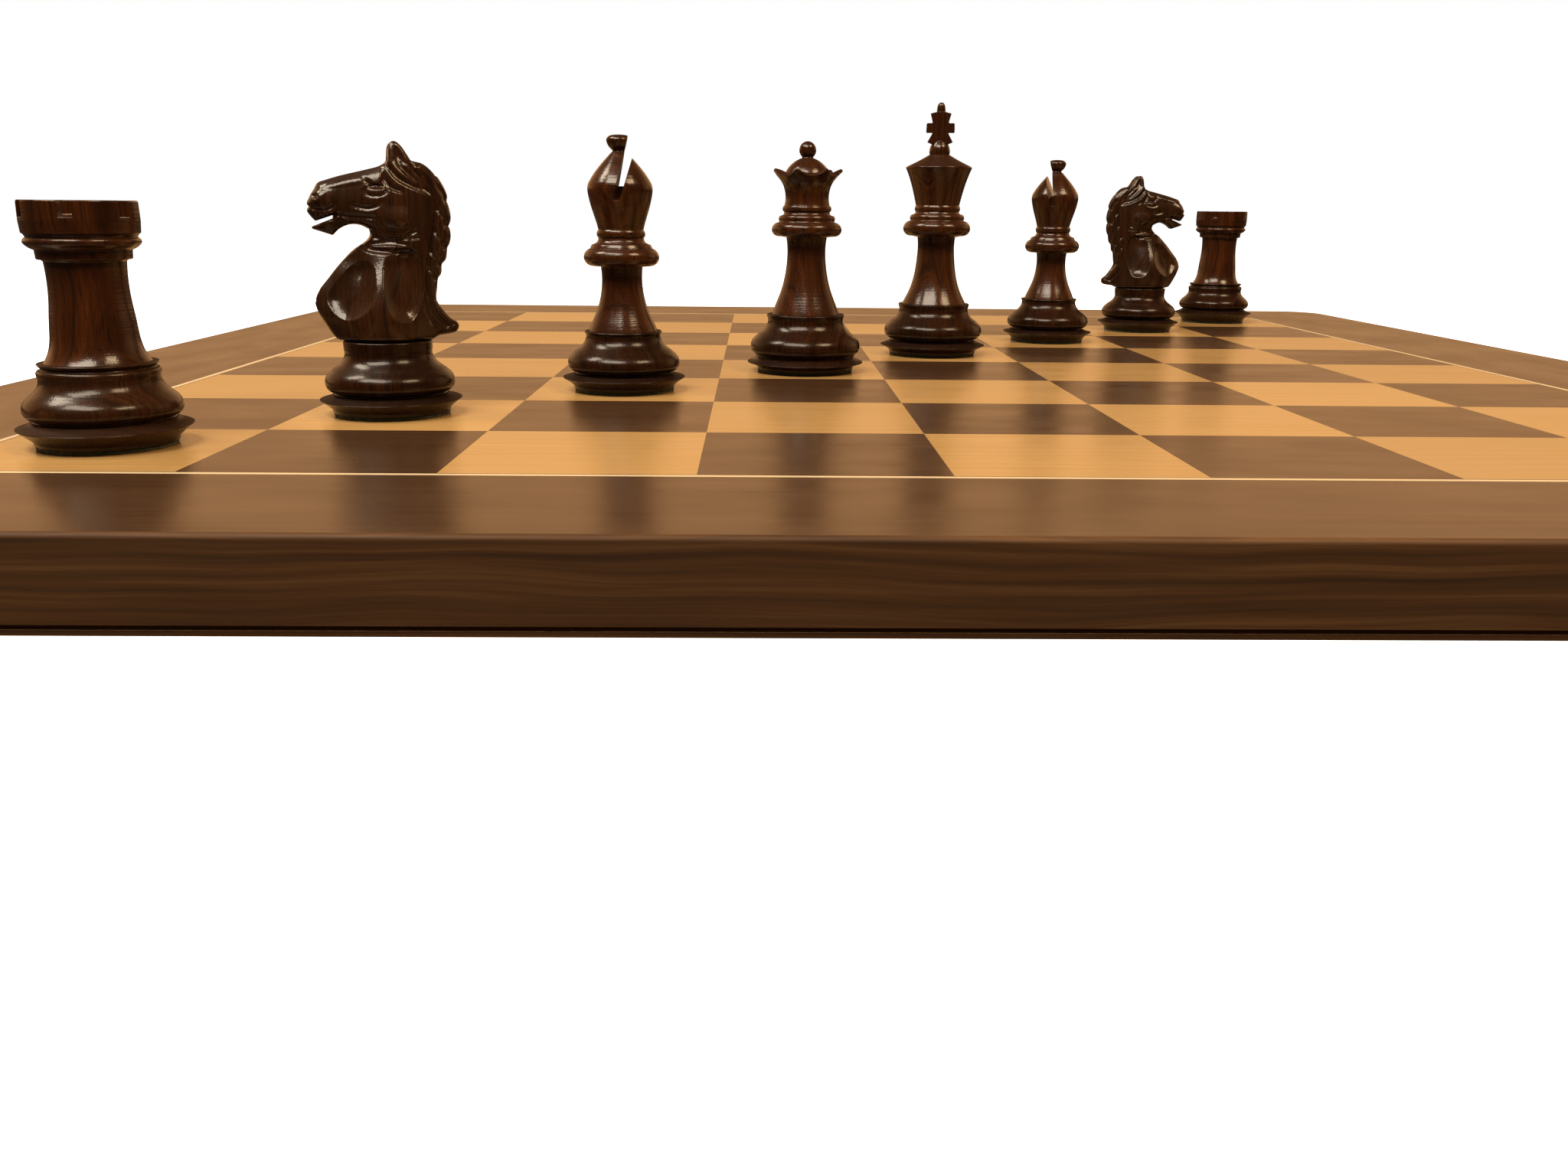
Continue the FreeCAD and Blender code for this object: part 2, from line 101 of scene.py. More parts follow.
# ---- shader graphs ----
class Graph:
    """Shorthand for the nodes of one material."""

    def __init__(self, name):
        self.material = bpy.data.materials.new(name)
        self.material.use_nodes = True
        self.tree = self.material.node_tree
        self.shader = self.tree.nodes["Principled BSDF"]

    def set(self, node, key, value):
        socket = node.inputs[key]
        if isinstance(value, bpy.types.NodeSocket):
            self.tree.links.new(value, socket)
        else:
            socket.default_value = value

    def add(self, kind, inputs=None, **settings):
        node = self.tree.nodes.new("ShaderNode" + kind)
        for key, value in settings.items():
            setattr(node, key, value)
        for key, value in (inputs or {}).items():
            self.set(node, key, value)
        return node

    def place(self):
        """Position in the object's own frame, which is the row frame at rest."""
        return self.add("TexCoord").outputs["Object"]

    def math(self, operation, a, b=0.0, c=0.0):
        return self.add("Math", {0: a, 1: b, 2: c}, operation=operation).outputs[0]

    def vector(self, operation, a, b=(0, 0, 0)):
        node = self.add("VectorMath", {0: a, 1: b}, operation=operation)
        return node.outputs["Value" if operation == "LENGTH" else "Vector"]

    def map(self, place, scale=(1, 1, 1), move=(0, 0, 0), turn=(0, 0, 0)):
        inputs = {"Vector": place, "Scale": scale, "Location": move, "Rotation": turn}
        return self.add("Mapping", inputs).outputs[0]

    def noise(self, place, scale=1.0, detail=4.0, rough=0.55, warp=0.0):
        inputs = {"Vector": place, "Scale": scale, "Detail": detail, "Roughness": rough, "Distortion": warp}
        return self.add("TexNoise", inputs).outputs["Fac"]

    def ramp(self, value, *stops):
        """Colours or greys by value: each stop is (place, colour)."""
        node = self.add("ValToRGB", {"Fac": value})
        bar = node.color_ramp
        while len(bar.elements) < len(stops):
            bar.elements.new(0.5)
        for element, (where, colour) in zip(bar.elements, stops):
            element.position = where
            element.color = (*colour, 1) if isinstance(colour, tuple) else (colour, colour, colour, 1)
        return node.outputs["Color"]

    def mix(self, share, a, b, blend="MIX"):
        node = self.add("Mix", data_type="RGBA", blend_type=blend)
        for socket, value in zip((node.inputs[0], node.inputs[6], node.inputs[7]), (share, a, b)):
            if isinstance(value, bpy.types.NodeSocket):
                self.tree.links.new(value, socket)
            else:
                socket.default_value = (*value, 1) if isinstance(value, tuple) else value
        return node.outputs[2]

    def finish(self, colour, rough, bump=None, bump_mm=0.0, eased_mm=0.0, **surface):
        """Ties the colour, roughness and bump to the shader. eased_mm softens the glint along sharp edges;
        surface holds plain values for the shader's other sockets."""
        self.set(self.shader, "Base Color", colour)
        self.set(self.shader, "Roughness", rough)
        if bump is not None:
            node = self.add("Bump", {"Height": bump, "Distance": bump_mm * MM})
            if eased_mm:
                eased = self.add("Bevel", {"Radius": eased_mm * MM}, samples=6)
                self.set(node, "Normal", eased.outputs["Normal"])
            self.set(self.shader, "Normal", node.outputs["Normal"])
            self.set(self.shader, "Coat Normal", node.outputs["Normal"])
        for key, value in surface.items():
            self.shader.inputs[key.replace("_", " ").title().replace("Ior", "IOR")].default_value = value
        return self.material


FROM_PITH = (0.031, 0.012, 0)    # from the heart of the tree to the middle of the piece
RING_DRIFT = 0.006
RINGS_PER_METRE = 520.0
PORE = (0.006, 0.003, 0.002)
MATT = (0.62, 0.62, 0.62)        # roughness of end grain
# the next share darkens the flats that face up: partly the darker end grain, partly painted shade
END_GRAIN_AND_PAINTED_SHADE = 0.55           # share of dark wood in it
END_GRAIN_LOSS = 0.94            # share of the gloss that it loses
GRAIN_MM = 0.026                 # height of the bumps
EASED_MM = 0.22                  # rounding of turned edges
GLOSS = 0.85
BASE_GLOSS = 0.46


def rosewood(name, middle, turn, dark, light, red, carved=False, gloss=GLOSS):
    """High-gloss lacquer over rosewood. The growth rings run round an upright line well outside the piece,
    so that they show as upright streaks on its sides and as arcs on its flats. A turned piece keeps fine
    marks round it, a carved one the small unevenness of the knife."""
    g = Graph(name)
    here = g.map(g.place(), move=tuple(-v for v in middle))
    turned = g.map(here, turn=(math.radians(2.0), math.radians(1.5), turn))
    drift = g.noise(g.map(turned, scale=(70, 70, 12)), detail=3.0)
    off_pith = g.vector("MULTIPLY", g.vector("ADD", turned, FROM_PITH), (1, 1, 0.0))
    rings = g.math("MULTIPLY_ADD", drift, RING_DRIFT, g.vector("LENGTH", off_pith))
    rings = g.math("MULTIPLY", rings, RINGS_PER_METRE)
    ring_noise = {"W": rings, "Scale": 1.0, "Detail": 3.5, "Roughness": 0.62}
    bands = g.add("TexNoise", ring_noise, noise_dimensions="1D").outputs["Fac"]
    fibre = g.noise(g.map(turned, scale=(900, 900, 26)), detail=3.0)
    pores = g.noise(g.map(turned, scale=(2300, 2300, 95)), detail=1.0)
    patch = g.noise(g.map(turned, scale=(45, 45, 18)), detail=2.0)
    figure = g.ramp(bands, (0.30, dark), (0.47, red), (0.60, light), (0.74, dark))
    figure = g.mix(g.ramp(fibre, (0.42, 0.0), (0.66, 0.55)), figure, dark)
    figure = g.mix(g.ramp(patch, (0.40, 0.65), (0.62, 0.0)), figure, dark)
    figure = g.mix(g.ramp(pores, (0.62, 0.0), (0.70, 0.7)), figure, PORE)
    wear = g.noise(g.place(), scale=160.0, detail=3.0)
    rough = g.ramp(wear, (0.35, 0.24), (0.70, 0.36))
    # end grain, on the flats that face up, drinks the lacquer and stays dull
    upward = g.add("SeparateXYZ", {"Vector": g.add("NewGeometry").outputs["Normal"]}).outputs["Z"]
    dull = g.ramp(upward, (0.76, 0.0), (0.90, 1.0))
    rough = g.mix(dull, rough, MATT)
    # the flats that face up are also painted darker: partly the darker end grain, partly painted shade, as
    # under the overhang of a bulge
    figure = g.mix(g.math("MULTIPLY", dull, END_GRAIN_AND_PAINTED_SHADE), figure, dark)
    lacquer = g.math("MULTIPLY", g.math("MULTIPLY_ADD", dull, -END_GRAIN_LOSS, 1.0), gloss)
    if carved:
        marks = g.noise(here, scale=520.0, detail=4.0, rough=0.7)
    else:
        marks = g.noise(g.map(here, scale=(25, 25, 1900)), detail=2.0)
    grit = g.noise(here, scale=2600.0, detail=2.0)
    # heights of the grain, as shares of GRAIN_MM
    bump = g.math("MULTIPLY_ADD", grit, 0.8, g.math("MULTIPLY_ADD", pores, -0.4, fibre))
    bump = g.math("MULTIPLY_ADD", marks, 2.2 if carved else 1.5, bump)
    g.set(g.shader, "Coat Weight", lacquer)
    return g.finish(figure, rough, bump, bump_mm=GRAIN_MM, eased_mm=0.0 if carved else EASED_MM, ior=1.5,
                    specular_ior_level=0.12, coat_ior=1.37, coat_roughness=0.11)


def veneer(name, grain, tones, streak, tiles=False, rough=(0.21, 0.29), flecks=0.14, shine=0.47, lit_groove=None):
    """Satin lacquer over veneer. grain is a pair of directions, along the grain and across it. tones are
    three colours, dark to light. streak is how closely they follow each other across the grain, per metre.
    With tiles, each square is its own piece of wood. rough is the range of the roughness, flecks is how
    strongly the pores show, and shine is the specular level. The last argument is a pair of heights between
    which the colour is painted paler, as painted light in the shaded groove."""
    g = Graph(name)
    place = g.place()
    tone = 0.5
    if tiles:
        cell = g.vector("FLOOR", g.vector("MULTIPLY", place, (1 / SQUARE, 1 / SQUARE, 0)))
        chance = g.add("TexWhiteNoise", {"Vector": cell}, noise_dimensions="3D")
        tone = chance.outputs["Value"]
        place = g.vector("ADD", place, chance.outputs["Color"])
    along = g.add("VectorMath", {0: place, 1: grain[0]}, operation="DOT_PRODUCT").outputs["Value"]
    across = g.add("VectorMath", {0: place, 1: grain[1]}, operation="DOT_PRODUCT").outputs["Value"]
    sheet = g.add("CombineXYZ", {"X": along, "Y": across, "Z": 0.0}).outputs[0]
    drift = g.noise(g.map(sheet, scale=(9, 30, 1)), detail=2.0)
    flow = g.math("MULTIPLY_ADD", drift, 0.010, across)
    stretched = {"X": g.math("MULTIPLY", along, 7.0), "Y": g.math("MULTIPLY", flow, streak)}
    figure = g.noise(g.add("CombineXYZ", stretched).outputs[0], detail=6.0, rough=0.6)
    pores = g.noise(g.map(sheet, scale=(210, 4200, 1)), detail=2.0)
    colour = g.ramp(figure, (0.32, tones[0]), (0.52, tones[1]), (0.70, tones[2]))
    colour = g.mix(g.ramp(pores, (0.58, 0.0), (0.72, flecks)), colour, tuple(0.35 * c for c in tones[0]))
    if tiles:
        shade = g.ramp(tone, (0.0, (0.90, 0.88, 0.86)), (1.0, (1.08, 1.07, 1.06)))
        colour = g.mix(1.0, colour, shade, "MULTIPLY")
    # painted light: between the two heights the colour is made paler, so that the shaded groove doesn't read
    # dark
    if lit_groove:
        height = g.add("SeparateXYZ", {"Vector": place}).outputs["Z"]
        painted_light = g.math("COMPARE", height, sum(lit_groove) / 2, (lit_groove[1] - lit_groove[0]) / 2)
        colour = g.mix(painted_light, colour, GROOVE_PAINTED_LIGHT)
    haze = g.noise(g.map(sheet, scale=(25, 60, 1)), detail=2.0)
    polish = g.ramp(haze, (0.3, rough[0]), (0.7, rough[1]))
    bump = g.math("MULTIPLY_ADD", pores, -0.6, figure)
    return g.finish(colour, polish, bump, bump_mm=0.004, ior=1.5, specular_ior_level=shine)


def felt(name):
    g = Graph(name)
    place = g.place()
    fibres = g.noise(g.map(place, scale=(1500, 1500, 900)), detail=5.0, rough=0.7, warp=1.5)
    tufts = g.noise(place, scale=420.0, detail=2.0)
    colour = g.ramp(fibres, (0.30, FELT[0]), (0.55, FELT[1]), (0.78, FELT[2]))
    colour = g.mix(g.ramp(tufts, (0.4, 0.0), (0.7, 0.4)), colour, FELT_SHADE)
    return g.finish(colour, 0.95, fibres, bump_mm=0.25, sheen_weight=0.6, sheen_roughness=0.5)


def plain_wood(name, dark, light, scale, rough):
    """Unfinished wood or board, for what is hidden inside."""
    g = Graph(name)
    grain = g.noise(g.map(g.place(), scale=scale), detail=5.0, rough=0.65)
    return g.finish(g.ramp(grain, (0.3, dark), (0.7, light)), rough, grain, bump_mm=0.08)


def cast_iron(name):
    g = Graph(name)
    sand = g.noise(g.place(), scale=900.0, detail=4.0)
    colour = g.ramp(sand, (0.3, IRON[0]), (0.7, IRON[1]))
    return g.finish(colour, 0.62, sand, bump_mm=0.15, metallic=0.8)


# Grain directions: along the grain, then across it.
ALONG_X = ((1, 0, 0), (0, 1, 0))
ALONG_Y = ((0, 1, 0), (1, 0, 0))
ROUND_THE_EDGE = ((1, 1, 0), (0, 0, 1))
# Colours, in linear light. Veneers have three, dark to light; rosewood has its dark, light and red wood.
WALNUT = ((0.041, 0.0200, 0.0095), (0.053, 0.0260, 0.0124), (0.066, 0.0330, 0.0162))
MAPLE = ((0.395, 0.240, 0.088), (0.435, 0.268, 0.101), (0.465, 0.290, 0.113))
FELT = ((0.006, 0.014, 0.004), (0.014, 0.034, 0.010), (0.035, 0.070, 0.024))
FELT_SHADE = (0.007, 0.018, 0.006)
IRON = ((0.045, 0.043, 0.042), (0.12, 0.115, 0.11))
BEECH = ((0.42, 0.27, 0.15), (0.62, 0.44, 0.27))
FIBREBOARD = ((0.20, 0.13, 0.07), (0.42, 0.30, 0.18))
# The colour below is painted into the bottom panel's groove, as painted light where the groove lies in shade.
GROOVE_PAINTED_LIGHT = (0.55, 0.33, 0.17)
PANEL_GROOVE = (1.09 * MM, 2.3 * MM)    # heights of the foot and the top of the bottom panel's groove
PALE = ((0.58, 0.46, 0.29), (0.64, 0.51, 0.33), (0.68, 0.55, 0.37))
EDGE = ((0.034, 0.0150, 0.0054), (0.071, 0.0312, 0.0107), (0.120, 0.0565, 0.0205))
ROSEWOOD = ((0.019, 0.0055, 0.0016), (0.076, 0.0215, 0.0045), (0.048, 0.0126, 0.0026))
ROSEWOOD_CARVED = ((0.016, 0.0060, 0.0022), (0.050, 0.0180, 0.0058), (0.033, 0.0108, 0.0032))
ROSEWOOD_DARK = ((0.009, 0.0029, 0.0008), (0.032, 0.0094, 0.0022), (0.019, 0.0053, 0.0013))
WOOD_SEED = 7


def paint(node, material):
    """Gives a CAD node its finish."""
    thing = nodes[node]
    if not thing.material_slots:
        thing.data.materials.append(material)
    for slot in thing.material_slots:
        slot.material = material


def piece_middle(piece):
    low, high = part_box(piece + "_felt")
    return Vector(((low.x + high.x) / 2, (low.y + high.y) / 2, TOP))


def dress_board():
    walnut_x = veneer("walnut_along_x", ALONG_X, WALNUT, 620.0)
    walnut_y = veneer("walnut_along_y", ALONG_Y, WALNUT, 620.0)
    dyed = tuple(tuple(0.5 * c for c in tone) for tone in WALNUT)
    line = veneer("dyed_line", ALONG_X, dyed, 900.0)
    finishes = {
        "dark_squares": veneer("walnut_squares", ALONG_X, WALNUT, 620.0, tiles=True),
        "light_squares": veneer("maple_squares", ALONG_X, MAPLE, 480.0, tiles=True, flecks=0.06),
        "pale_stringing": veneer("maple_line", ALONG_X, PALE, 900.0, flecks=0.05),
        "inner_line": line,
        "outer_line": line,
        "border_front": walnut_x,
        "border_back": walnut_x,
        "border_left": walnut_y,
        "border_right": walnut_y,
        "balancing_veneer": walnut_x,
        "edge_band": veneer("walnut_edge", ROUND_THE_EDGE, EDGE, 420.0, rough=(0.55, 0.7), shine=0.25),
        # the bottom panel's groove is painted paler, as painted light
        "bottom_panel": veneer("walnut_base", ROUND_THE_EDGE, EDGE, 420.0, rough=(0.35, 0.5),
                               lit_groove=PANEL_GROOVE),
        "board_core": plain_wood("fibreboard", *FIBREBOARD, (500, 500, 500), 0.9),
    }
    for node, material in finishes.items():
        paint(node, material)


def dress_pieces():
    """Each piece is turned from its own block, so its figure is its own."""
    chance = random.Random(WOOD_SEED)
    iron = cast_iron("cast_iron")
    beech = plain_wood("beech", *BEECH, (700, 700, 40), 0.6)
    for piece in PIECES:
        middle = piece_middle(piece)
        deep = ROSEWOOD_CARVED if piece == "rook_left" else ROSEWOOD_DARK
        turn = chance.uniform(0, 2 * math.pi)
        below = rosewood(piece + "_base_wood", middle, turn, *deep, gloss=BASE_GLOSS)
        carved = piece in KNIGHT_TURN
        tones = ROSEWOOD_CARVED if carved else ROSEWOOD
        turn = chance.uniform(0, 2 * math.pi)
        above = rosewood(piece + "_wood", middle, turn, *tones, carved=carved)
        looks = {"rosewood_dark": below, "rosewood": above, "iron_weight": iron, "dowel_beech": beech}
        for node, slot in SLOT_OF.items():
            if node.startswith(piece + "_") and slot in looks:
                paint(node, looks[slot])


# ---- felt discs ----
# Half section of a disc, from below to above: (share of the radius, share of the thickness).
FELT_SECTION = [(0.5, 0.0), (0.93, 0.0), (0.985, 0.12), (1.0, 0.38), (0.995, 0.68), (0.975, 0.92),
                (0.93, 1.0), (0.5, 1.0)]
FELT_STEPS = 144             # corners round a disc
FELT_RAGGED = 0.10 * MM      # spread of the loose fibres at the rim
FELT_LOOSEST = 0.2 * MM      # and how far they stick out at most


def felt_disc(piece, material):
    """A punched felt disc with a soft, slightly uneven rim, under the piece."""
    chance = random.Random(piece)
    low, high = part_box(piece + "_felt")
    middle = piece_middle(piece)
    radius = (high.x - low.x) / 2
    thick = high.z - low.z
    around = FELT_STEPS
    ragged = [chance.gauss(0, 1) for _ in range(around)]
    verts = []
    faces = []
    for share, level in FELT_SECTION:
        for step in range(around):
            angle = 2 * math.pi * step / around
            loose = FELT_RAGGED * ragged[step] * (1 if 0.1 < level < 0.95 else 0.3) if share > 0.9 else 0.0
            reach = radius * share + min(loose, FELT_LOOSEST)
            across, back = reach * math.cos(angle), reach * math.sin(angle)
            verts.append((middle.x + across, middle.y + back, low.z + thick * level))
    rows = len(FELT_SECTION)
    for row in range(rows - 1):
        for step in range(around):
            after = (step + 1) % around
            here, above = row * around, (row + 1) * around
            faces.append((here + step, here + after, above + after, above + step))
    for row, level, flip in ((0, 0.0, True), (rows - 1, 1.0, False)):
        centre = len(verts)
        verts.append((middle.x, middle.y, low.z + thick * level))
        for step in range(around):
            pair = (row * around + step, row * around + (step + 1) % around)
            faces.append((centre, *(reversed(pair) if flip else pair)))
    mesh = bpy.data.meshes.new(piece + "_felt_disc")
    mesh.from_pydata(verts, [], faces)
    mesh.shade_smooth()
    mesh.materials.append(material)
    disc = bpy.data.objects.new(piece + "_felt_disc", mesh)
    bpy.context.scene.collection.objects.link(disc)
    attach(disc, piece)
    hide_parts(piece + "_felt")


# ---- carved heads ----
# All lengths in this part are millimetres. The horse faces -u, y is to its sides, and z is above the playing
# surface.
VOXEL = 0.28
U_RANGE = (-19.5, 20.5)
Y_RANGE = (-13.0, 13.0 + VOXEL)
Z_RANGE = (18.6, 72.0)
BAND = 3.0    # the field of distances holds no more than this

# Side view of the head. Each run is a smooth line through its points, and starts where the run before it
# ends.
SILHOUETTE = [
    [(2.9, 65.5), (3.3, 69.0), (4.6, 70.3), (6.4, 69.2), (8.7, 65.5)],
    [(12.1, 64.7), (14.7, 62.7), (16.8, 59.6), (17.7, 57.2), (17.6, 55.5)],
    [(18.1, 54.0), (18.4, 51.6), (18.0, 50.0), (17.4, 49.2)],
    [(17.9, 48.4), (18.1, 46.4), (17.6, 44.6), (16.8, 43.6)],
    [(16.8, 42.7), (16.7, 41.2), (16.2, 40.2), (15.2, 39.5)],
    [(15.1, 38.6), (15.0, 37.0), (13.9, 35.7)],
    [(13.6, 33.5), (13.2, 30.4), (14.3, 28.2), (16.6, 25.4), (18.5, 24.1), (18.8, 22.7), (17.5, 21.4),
     (13.2, 20.8)],
    [(11.4, 19.9)],
    [(-11.0, 20.0)],
    [(-13.3, 20.8), (-16.3, 25.8), (-17.9, 29.3), (-18.1, 31.4), (-16.5, 34.1)],
    [(-8.5, 41.9), (-5.6, 44.1), (-3.6, 45.4), (-2.5, 46.9), (-2.6, 48.3)],
    [(-5.0, 49.4), (-7.7, 49.5), (-10.1, 48.5), (-11.9, 46.8)],
    [(-16.9, 48.4)],
    [(-16.9, 48.9)],
    [(-11.6, 50.9)],
    [(-11.3, 51.9)],
    [(-15.9, 50.3)],
    [(-17.2, 51.9), (-17.7, 53.0), (-17.1, 53.9)],
    [(-17.6, 54.7), (-16.9, 56.2), (-15.6, 58.4), (-14.9, 59.6), (-14.2, 60.1)],
    [(-9.0, 61.6), (-2.4, 63.2), (0.8, 64.1), (2.9, 65.5)],
]

# Half width of the head at places in the side view: (u, z, half width).
WIDTHS = [
    (-12.0, 20, 3.4), (-9.0, 20, 6.6), (-5, 20, 9.8), (0, 20, 11.0), (5, 20, 9.9), (9, 20, 6.6),
    (13, 21, 3.4), (17.5, 22.5, 1.9),
    (-16.5, 28.5, 1.6), (-13, 28.5, 5.2), (-8, 28.5, 9.0), (-1.5, 28.5, 11.6), (5, 28.5, 9.8),
    (10, 28.5, 6.0), (13.5, 28, 3.6),
    (-12.5, 35.5, 1.8), (-10, 35.5, 4.6), (-6, 35.5, 7.6), (-1.2, 35.5, 9.3), (5, 35.5, 8.6),
    (10, 35.5, 5.8), (13, 35.5, 3.6),
    (-7.5, 41.0, 2.4), (-4, 41.5, 5.4), (0.5, 41.5, 6.8), (5.5, 41.5, 7.2), (10.5, 41.5, 6.0),
    (15, 41.5, 3.6),
    (-3.0, 46.5, 4.6), (1, 46.5, 5.8), (6, 47, 6.8), (11, 47, 5.8), (17, 47, 3.0),
    (-3, 51.5, 6.0), (3.4, 51.5, 7.2), (9, 52, 6.4), (14, 52, 4.4), (17.5, 52, 2.6),
    (-8, 51.5, 4.8), (-12, 48.5, 3.6), (-16.3, 48.8, 2.0), (-17.2, 52.2, 2.3), (-14, 52.2, 4.2),
    (-17.5, 54.4, 2.4), (-16.4, 57.4, 2.4), (-14.8, 59.6, 2.5), (-14.2, 56, 4.6), (-12.2, 54.5, 4.9),
    (-12.5, 59.6, 3.4), (-9.5, 56.0, 4.8), (-9.5, 60.3, 3.6),
    (-4.5, 56.5, 5.7), (-4, 61, 4.5), (-0.6, 58, 6.3), (0, 62.5, 5.0), (4.5, 57, 6.7), (9, 58, 6.0),
    (6, 63, 5.6), (5, 66.5, 4.7), (4.6, 70, 3.5), (12, 60, 4.9), (12, 64, 3.2), (16.5, 57, 2.8),
]

# Outlines of the hollows in the neck.
FRONT_OVAL = [(-14.6, 31.0), (-12.0, 35.2), (-8.4, 38.9), (-5.0, 40.4), (-2.9, 39.2), (-2.4, 36.0),
              (-2.9, 31.6), (-4.6, 28.4), (-7.6, 26.1), (-10.6, 25.4), (-13.4, 27.3)]
REAR_OVAL = [(0.3, 40.4), (-0.5, 36.5), (-0.7, 31.5), (-0.3, 28.4), (1.0, 26.1), (3.4, 25.0), (6.0, 25.3),
             (7.8, 27.6), (9.0, 31.4), (9.6, 36.3), (9.4, 41.0), (7.4, 43.8), (3.2, 43.6)]
# Each hollow: outline, depth, and how far in from the outline it levels out.
HOLLOWS = [(FRONT_OVAL, 2.6, 4.2), (REAR_OVAL, 2.3, 4.4)]
# The two sides of the mane, from top to bottom, and the cuts between its strands: (share of the way from
# root to edge, depth).
MANE_ROOT = [(9.4, 63.6), (12.1, 61.4), (13.7, 58.0), (14.3, 54.0), (13.7, 49.5), (12.3, 44.2), (11.2, 40.0),
             (10.8, 35.0), (11.2, 30.6), (12.8, 26.4), (15.4, 23.4)]
MANE_EDGE = [(11.0, 65.2), (14.9, 62.6), (17.0, 59.0), (18.0, 54.5), (18.2, 49.5), (17.2, 44.4), (15.6, 40.4),
             (14.4, 36.0), (13.9, 31.0), (15.4, 27.4), (18.0, 24.2)]
STRANDS = [(0.0, 0.8), (0.3, 0.35), (0.58, 0.4), (0.84, 0.3)]

# Gouge lines: (width, depth, points). A negative depth stands proud.
STROKES = [
    (0.9, 0.75, [(-6.0, 44.3), (-2.6, 43.2), (1.8, 42.8), (6.4, 43.1)]),
    (0.8, 0.7, [(-5.6, 43.9), (-1.0, 44.9), (2.7, 44.9), (6.4, 44.6)]),
    (0.8, 0.6, [(-2.8, 46.6), (-0.2, 46.1), (2.8, 45.8), (6.8, 46.1)]),
    (0.7, 0.5, [(5.6, 46.5), (8.8, 48.2)]),
    (0.6, 0.4, [(7.2, 46.1), (9.4, 46.5)]),
    (0.8, 0.5, [(-7.0, 54.5), (-3.8, 53.7), (-1.4, 54.0), (0.4, 55.2)]),
    (0.8, 0.5, [(-10.6, 52.2), (-7.8, 51.7), (-4.2, 51.5), (-0.8, 51.2)]),
    (0.8, 0.6, [(1.4, 63.2), (1.8, 60.6), (3.0, 58.9), (5.6, 57.8)]),
    (0.9, 0.7, [(2.4, 64.8), (4.7, 61.4), (8.1, 59.4), (12.1, 57.8)]),
    (0.9, 0.7, [(4.6, 65.4), (6.3, 63.6), (8.6, 61.3), (12.6, 57.6)]),
    (0.8, 0.6, [(8.0, 64.6), (9.6, 62.2), (12.4, 59.0)]),
    (1.3, -0.25, [(-14.4, 59.2), (-8.8, 60.0), (-6.0, 60.5), (-3.3, 61.1)]),
    (0.8, 0.5, [(-3.3, 60.9), (-2.2, 59.7), (-1.6, 59.1), (0.6, 59.2), (1.6, 61.6)]),
    (0.7, 0.45, [(-17.4, 53.8), (-14.6, 53.2), (-12.2, 53.6), (-10.8, 54.6)]),
    (0.6, 0.5, [(-11.5, 51.4), (-10.4, 52.3)]),
    (0.9, 0.5, [(9.7, 34.0), (9.9, 29.0), (11.0, 25.4), (12.2, 23.6)]),
]
TEETH = [-15.4, -14.3, -13.2, -12.2]    # u of the cuts between them
EAR_HOLLOW = [(4.1, 65.9), (4.5, 68.7), (5.6, 68.9), (7.0, 66.5), (7.5, 64.4), (5.9, 64.2)]
# Locks of the mane: where each starts at its root, and the notch of the back edge where it ends.
LOCKS = [((14.2, 60.0), (17.0, 55.6)), ((14.2, 54.4), (16.7, 49.2)), ((13.2, 48.6), (15.9, 43.6)),
         ((11.7, 43.4), (14.1, 39.5)), ((11.0, 39.0), (13.1, 35.7))]
# Ovals: (middle, half length and half height).
CHEEK = ((3.2, 51.8), (4.2, 3.4))
EYE_SOCKET = ((-0.7, 58.0), (3.6, 1.9))
EYE_BALL = ((-0.7, 57.9), (2.2, 1.15))
NOSE = ((-15.3, 56.6), (1.9, 1.9))
NOSTRIL = ((-15.6, 56.4), (0.9, 0.75))


def smooth_run(points, steps=7):
    """Points of a Catmull-Rom line through the given ones."""
    p = np.array(points, float)
    if len(p) < 3:
        return p
    ends = np.vstack([2 * p[0] - p[1], p, 2 * p[-1] - p[-2]])
    t = np.linspace(0, 1, steps, endpoint=False)[:, None]
    spans = []
    for a, b, c, d in zip(ends[:-3], ends[1:-2], ends[2:-1], ends[3:]):
        square = 2 * a - 5 * b + 4 * c - d
        cube = 3 * b - a - 3 * c + d
        spans.append(0.5 * (2 * b + (c - a) * t + square * t**2 + cube * t**3))
    return np.vstack(spans + [p[-1:]])


def silhouette():
    """The closed outline of the side view, as points."""
    loop = []
    start = SILHOUETTE[-1][-1]
    for run in SILHOUETTE:
        line = smooth_run([start] + run if run[0] != start else run)
        loop.append(line[:-1])
        start = run[-1]
    return np.vstack(loop)


def line_distance(u, z, points):
    """Distance from each place to an open line, and how far along it that is, 0 to 1."""
    best = np.full(u.shape, 1e9)
    along = np.zeros(u.shape)
    steps = np.linalg.norm(np.diff(points, axis=0), axis=1)
    walked = np.concatenate([[0], np.cumsum(steps)])
    for (a, b), length, before in zip(zip(points[:-1], points[1:]), steps, walked):
        d = b - a
        t = np.clip(((u - a[0]) * d[0] + (z - a[1]) * d[1]) / max(length**2, 1e-9), 0, 1)
        gap = np.hypot(u - a[0] - t * d[0], z - a[1] - t * d[1])
        near = gap < best
        best = np.where(near, gap, best)
        along = np.where(near, (before + t * length) / walked[-1], along)
    return best, along


